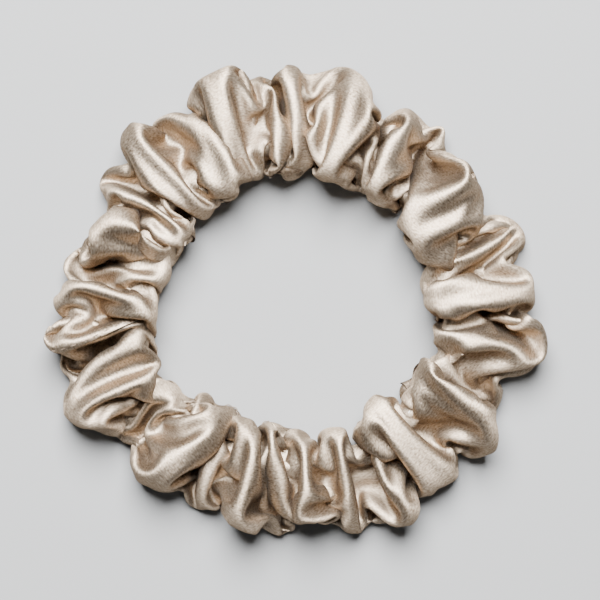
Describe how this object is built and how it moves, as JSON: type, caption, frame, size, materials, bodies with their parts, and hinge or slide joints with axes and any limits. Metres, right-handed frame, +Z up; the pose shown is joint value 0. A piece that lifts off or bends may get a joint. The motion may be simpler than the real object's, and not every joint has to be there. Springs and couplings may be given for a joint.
{
  "type": "scrunchie",
  "caption": "Ring-shaped hair tie: a gathered satin cloth casing round a sewn loop of flat braided elastic, which stretches open and springs back.",
  "frame": {"origin": "centre of the ring, on the surface that it lies on", "axes": "+Z up out of the ring's plane; the ring stretches along X, and +Y is its upper side as it is seen from above"},
  "size_m": [0.1052, 0.1052, 0.0189],
  "materials": {
    "satin": "satin",
    "braid": "matte",
    "rubber": "matte",
    "stitch_thread": "satin",
    "seam_thread": "satin"
  },
  "bodies": {
    "left_half": {"satin_cover_left": "satin", "elastic_braid_left": "braid", "rubber_cords_left": "rubber", "long_seam_thread_left": "seam_thread", "closing_seam_thread": "seam_thread"},
    "right_half": {"satin_cover_right": "satin", "elastic_braid_right": "braid", "rubber_cords_right": "rubber", "elastic_lap_stitches": "stitch_thread", "long_seam_thread_right": "seam_thread"}
  },
  "joints": [
    {"name": "stretch", "type": "slide", "parent": "left_half", "child": "right_half", "axis": [1, 0, 0], "range_m": [0, 0.06], "stiffness_N_per_m": 90}
  ]
}
